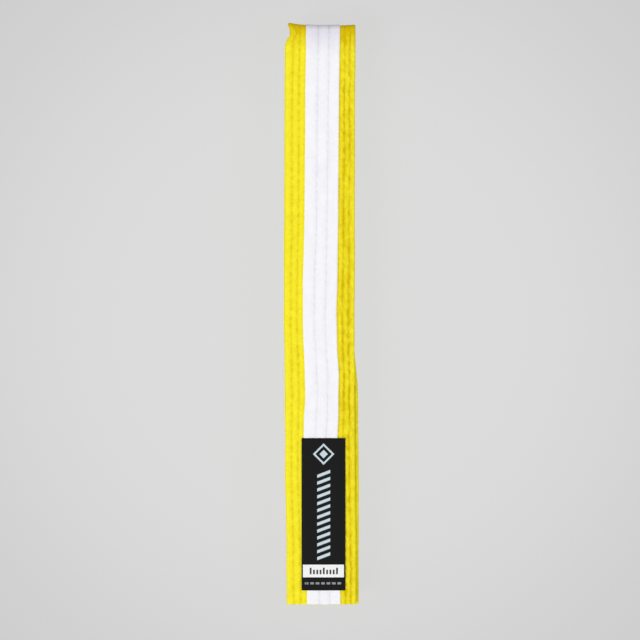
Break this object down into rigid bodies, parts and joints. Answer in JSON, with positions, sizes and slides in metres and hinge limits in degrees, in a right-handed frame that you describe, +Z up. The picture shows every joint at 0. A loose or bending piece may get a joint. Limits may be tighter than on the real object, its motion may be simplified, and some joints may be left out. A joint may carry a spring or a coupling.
{
  "type": "martial arts belt",
  "caption": "Quilted cotton martial arts grade belt, yellow with a white centre stripe, folded into a flat stack of hinged runs, with a woven label near the end on top.",
  "frame": {"origin": "under the middle of the whole folded belt, on the surface it lies on", "axes": "+Y along the belt from the free ends towards the first fold, +X across the belt, +Z up through the stack"},
  "size_m": [0.0426, 0.3526, 0.032],
  "materials": {
    "yellow_cotton": "matt cotton weave",
    "white_cotton": "matt cotton weave",
    "core_cotton": "plain unbleached cotton",
    "seam_thread": "twisted sewing thread",
    "label_weave": "satin woven label",
    "label_thread": "twisted sewing thread"
  },
  "bodies": {
    "run_1": {"run_1_cover": "yellow_cotton", "run_1_core_plies": "core_cotton", "run_1_stripes": "white_cotton", "run_1_seam_threads": "seam_thread"},
    "bend_1": {"fold_1_cover": "yellow_cotton", "fold_1_core_plies": "core_cotton", "fold_1_stripes": "white_cotton"},
    "run_2": {"run_2_cover": "yellow_cotton", "run_2_core_plies": "core_cotton", "run_2_stripes": "white_cotton", "run_2_seam_threads": "seam_thread"},
    "bend_2": {"fold_2_cover": "yellow_cotton", "fold_2_core_plies": "core_cotton", "fold_2_stripes": "white_cotton"},
    "run_3": {"run_3_cover": "yellow_cotton", "run_3_core_plies": "core_cotton", "run_3_stripes": "white_cotton", "run_3_seam_threads": "seam_thread"},
    "bend_3": {"fold_3_cover": "yellow_cotton", "fold_3_core_plies": "core_cotton", "fold_3_stripes": "white_cotton"},
    "run_4": {"run_4_cover": "yellow_cotton", "run_4_core_plies": "core_cotton", "run_4_stripes": "white_cotton", "run_4_seam_threads": "seam_thread"},
    "bend_4": {"fold_4_cover": "yellow_cotton", "fold_4_core_plies": "core_cotton", "fold_4_stripes": "white_cotton"},
    "run_5": {"run_5_cover": "yellow_cotton", "run_5_core_plies": "core_cotton", "run_5_stripes": "white_cotton", "run_5_seam_threads": "seam_thread"},
    "bend_5": {"fold_5_cover": "yellow_cotton", "fold_5_core_plies": "core_cotton", "fold_5_stripes": "white_cotton"},
    "run_6": {"run_6_cover": "yellow_cotton", "run_6_core_plies": "core_cotton", "run_6_stripes": "white_cotton", "run_6_seam_threads": "seam_thread"},
    "bend_6": {"fold_6_cover": "yellow_cotton", "fold_6_core_plies": "core_cotton", "fold_6_stripes": "white_cotton"},
    "run_7": {"run_7_cover": "yellow_cotton", "run_7_core_plies": "core_cotton", "run_7_stripes": "white_cotton", "run_7_seam_threads": "seam_thread"},
    "bend_7": {"fold_7_cover": "yellow_cotton", "fold_7_core_plies": "core_cotton", "fold_7_stripes": "white_cotton"},
    "run_8": {"run_8_cover": "yellow_cotton", "run_8_core_plies": "core_cotton", "run_8_stripes": "white_cotton", "run_8_seam_threads": "seam_thread", "label": "label_weave", "label_stitching": "label_thread"}
  },
  "joints": [
    {"name": "fold_1", "type": "hinge", "parent": "run_1", "child": "bend_1", "pos_m": [0, 0.1746, 0.00175], "axis": [-1, 0, 0], "range_deg": [0, 90], "deforming": ["fold_1_cover", "fold_1_core_plies", "fold_1_stripes"]},
    {"name": "fold_1_far_side", "type": "hinge", "parent": "bend_1", "child": "run_2", "pos_m": [0, 0.1746, 0.00585], "axis": [-1, 0, 0], "range_deg": [0, 90]},
    {"name": "fold_2", "type": "hinge", "parent": "run_2", "child": "bend_2", "pos_m": [0, -0.1734, 0.00575], "axis": [1, 0, 0], "range_deg": [0, 90], "deforming": ["fold_2_cover", "fold_2_core_plies", "fold_2_stripes"]},
    {"name": "fold_2_far_side", "type": "hinge", "parent": "bend_2", "child": "run_3", "pos_m": [0, -0.1734, 0.00985], "axis": [1, 0, 0], "range_deg": [0, 90]},
    {"name": "fold_3", "type": "hinge", "parent": "run_3", "child": "bend_3", "pos_m": [0, 0.1746, 0.00975], "axis": [-1, 0, 0], "range_deg": [0, 90], "deforming": ["fold_3_cover", "fold_3_core_plies", "fold_3_stripes"]},
    {"name": "fold_3_far_side", "type": "hinge", "parent": "bend_3", "child": "run_4", "pos_m": [0, 0.1746, 0.01385], "axis": [-1, 0, 0], "range_deg": [0, 90]},
    {"name": "fold_4", "type": "hinge", "parent": "run_4", "child": "bend_4", "pos_m": [0, -0.1734, 0.01375], "axis": [1, 0, 0], "range_deg": [0, 90], "deforming": ["fold_4_cover", "fold_4_core_plies", "fold_4_stripes"]},
    {"name": "fold_4_far_side", "type": "hinge", "parent": "bend_4", "child": "run_5", "pos_m": [0, -0.1734, 0.01785], "axis": [1, 0, 0], "range_deg": [0, 90]},
    {"name": "fold_5", "type": "hinge", "parent": "run_5", "child": "bend_5", "pos_m": [0, 0.1746, 0.01775], "axis": [-1, 0, 0], "range_deg": [0, 90], "deforming": ["fold_5_cover", "fold_5_core_plies", "fold_5_stripes"]},
    {"name": "fold_5_far_side", "type": "hinge", "parent": "bend_5", "child": "run_6", "pos_m": [0, 0.1746, 0.02185], "axis": [-1, 0, 0], "range_deg": [0, 90]},
    {"name": "fold_6", "type": "hinge", "parent": "run_6", "child": "bend_6", "pos_m": [0, -0.1734, 0.02175], "axis": [1, 0, 0], "range_deg": [0, 90], "deforming": ["fold_6_cover", "fold_6_core_plies", "fold_6_stripes"]},
    {"name": "fold_6_far_side", "type": "hinge", "parent": "bend_6", "child": "run_7", "pos_m": [0, -0.1734, 0.02585], "axis": [1, 0, 0], "range_deg": [0, 90]},
    {"name": "fold_7", "type": "hinge", "parent": "run_7", "child": "bend_7", "pos_m": [0, 0.1746, 0.02575], "axis": [-1, 0, 0], "range_deg": [0, 90], "deforming": ["fold_7_cover", "fold_7_core_plies", "fold_7_stripes"]},
    {"name": "fold_7_far_side", "type": "hinge", "parent": "bend_7", "child": "run_8", "pos_m": [0, 0.1746, 0.02985], "axis": [-1, 0, 0], "range_deg": [0, 90]}
  ],
  "couplings": [
    {"joint": "fold_1_far_side", "follows": "fold_1", "ratio": 1},
    {"joint": "fold_2_far_side", "follows": "fold_2", "ratio": 1},
    {"joint": "fold_3_far_side", "follows": "fold_3", "ratio": 1},
    {"joint": "fold_4_far_side", "follows": "fold_4", "ratio": 1},
    {"joint": "fold_5_far_side", "follows": "fold_5", "ratio": 1},
    {"joint": "fold_6_far_side", "follows": "fold_6", "ratio": 1},
    {"joint": "fold_7_far_side", "follows": "fold_7", "ratio": 1}
  ]
}
